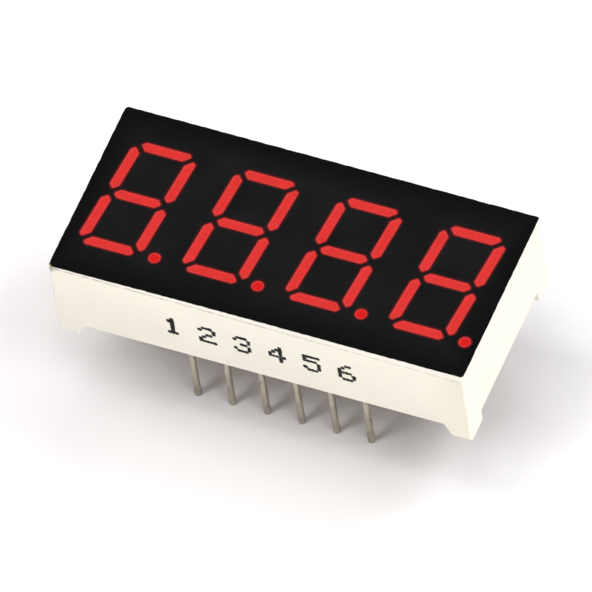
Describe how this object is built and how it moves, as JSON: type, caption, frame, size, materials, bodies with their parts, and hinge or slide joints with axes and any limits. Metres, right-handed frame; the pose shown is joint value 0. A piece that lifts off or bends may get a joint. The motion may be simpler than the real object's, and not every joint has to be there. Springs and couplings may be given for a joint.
{
  "type": "four-digit seven-segment display",
  "caption": "Flat box-shaped display with slanted seven-segment digits and round decimal dots in red on a black face, a white case with corner feet and rows of round pins below.",
  "frame": {"origin": "middle of the plane of the pin tips, below the middle of the case", "axes": "+X along the digits to the right, +Y towards the digits' tops, +Z out of the black face"},
  "size_m": [0.0302, 0.014, 0.0136],
  "materials": {
    "case_plastic": "satin",
    "black_ink": "matte",
    "red_resin": "gloss",
    "board": "satin",
    "tinned_pin": "satin",
    "led_die": "gloss",
    "gold_wire": "polished"
  },
  "bodies": {
    "root": {"reflector_case": "case_plastic", "face_ink": "black_ink", "resin_fill": "red_resin", "circuit_board": "board", "pin_1": "tinned_pin", "pin_2": "tinned_pin", "pin_3": "tinned_pin", "pin_4": "tinned_pin", "pin_5": "tinned_pin", "pin_6": "tinned_pin", "pin_7": "tinned_pin", "pin_8": "tinned_pin", "pin_9": "tinned_pin", "pin_10": "tinned_pin", "pin_11": "tinned_pin", "pin_12": "tinned_pin", "digit_1_led_a": "led_die", "digit_1_led_b": "led_die", "digit_1_led_c": "led_die", "digit_1_led_d": "led_die", "digit_1_led_e": "led_die", "digit_1_led_f": "led_die", "digit_1_led_g": "led_die", "digit_1_led_dot": "led_die", "digit_2_led_a": "led_die", "digit_2_led_b": "led_die", "digit_2_led_c": "led_die", "digit_2_led_d": "led_die", "digit_2_led_e": "led_die", "digit_2_led_f": "led_die", "digit_2_led_g": "led_die", "digit_2_led_dot": "led_die", "digit_3_led_a": "led_die", "digit_3_led_b": "led_die", "digit_3_led_c": "led_die", "digit_3_led_d": "led_die", "digit_3_led_e": "led_die", "digit_3_led_f": "led_die", "digit_3_led_g": "led_die", "digit_3_led_dot": "led_die", "digit_4_led_a": "led_die", "digit_4_led_b": "led_die", "digit_4_led_c": "led_die", "digit_4_led_d": "led_die", "digit_4_led_e": "led_die", "digit_4_led_f": "led_die", "digit_4_led_g": "led_die", "digit_4_led_dot": "led_die", "digit_1_bond_wires": "gold_wire", "digit_2_bond_wires": "gold_wire", "digit_3_bond_wires": "gold_wire", "digit_4_bond_wires": "gold_wire"}
  },
  "joints": []
}
